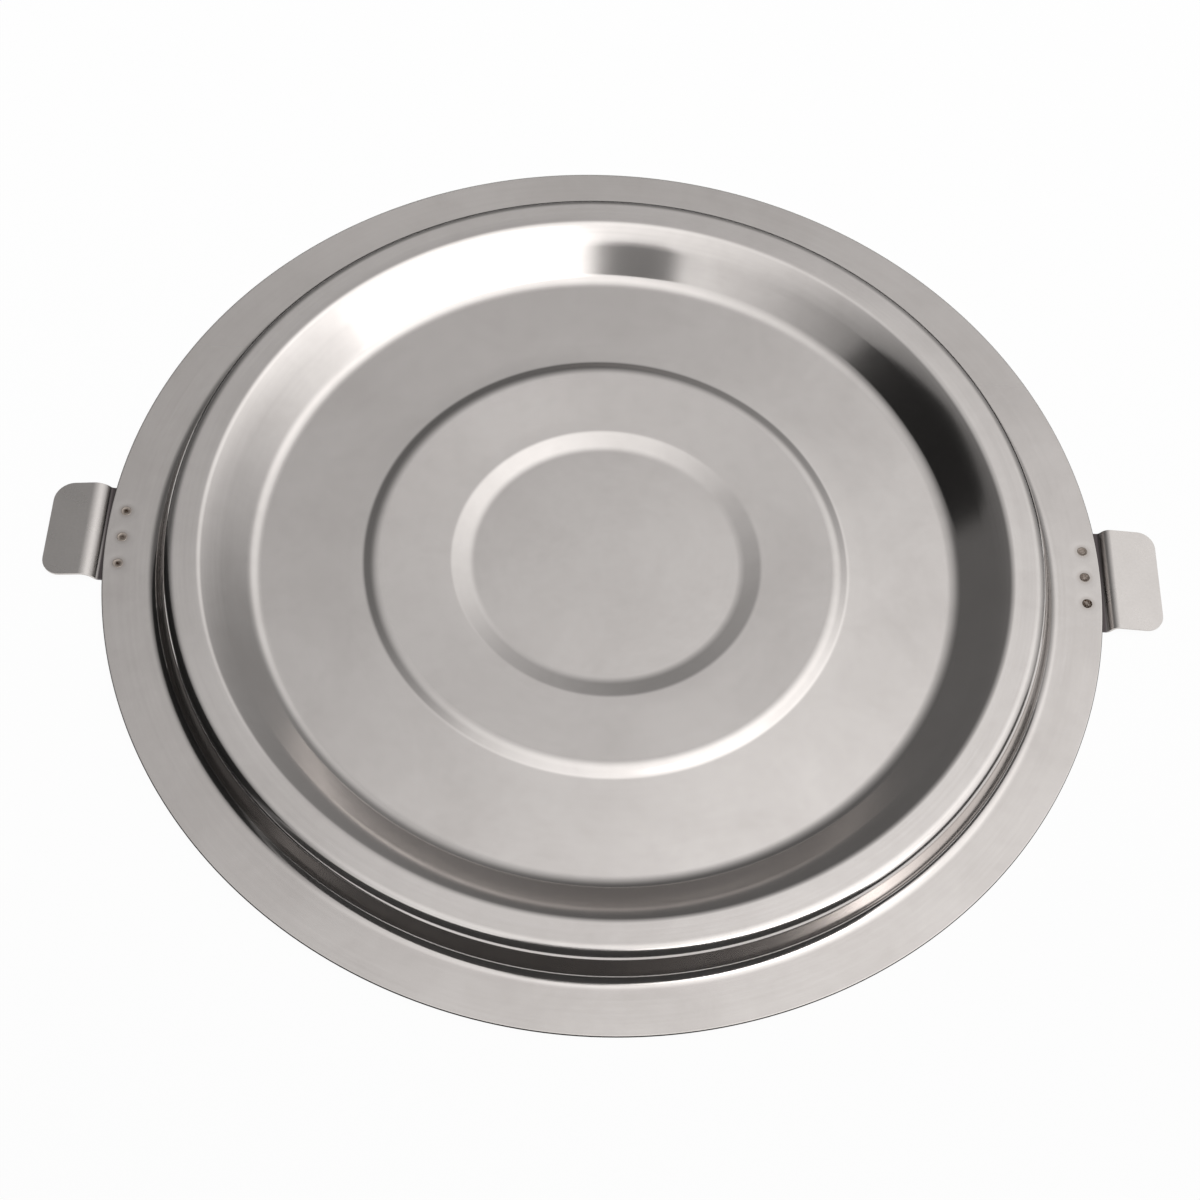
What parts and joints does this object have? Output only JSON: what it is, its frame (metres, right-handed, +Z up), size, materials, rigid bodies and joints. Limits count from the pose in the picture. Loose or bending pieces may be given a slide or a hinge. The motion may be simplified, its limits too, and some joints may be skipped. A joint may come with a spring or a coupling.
{
  "type": "soup kettle cover plate",
  "caption": "Round pressed stainless cover plate with a raised ring ridge, a stiffening band, a flat flange and spot-welded tab handles on opposite sides.",
  "frame": {"origin": "on the cover's axis, in the plane of the undersides of the two handle feet, which the part stands on", "axes": "+X towards the right handle, +Y towards the rear, +Z up along the cover's axis"},
  "size_m": [0.4476, 0.4002, 0.0172],
  "materials": {
    "cover_sheet": "satin flats with polished bends",
    "handle_sheet": "satin",
    "spot_weld": "heat tinted"
  },
  "bodies": {
    "root": {"pressed_cover": "cover_sheet", "left_handle": "handle_sheet", "right_handle": "handle_sheet", "left_spot_weld_front": "spot_weld", "left_spot_weld_middle": "spot_weld", "left_spot_weld_rear": "spot_weld", "right_spot_weld_front": "spot_weld", "right_spot_weld_middle": "spot_weld", "right_spot_weld_rear": "spot_weld"}
  },
  "joints": []
}
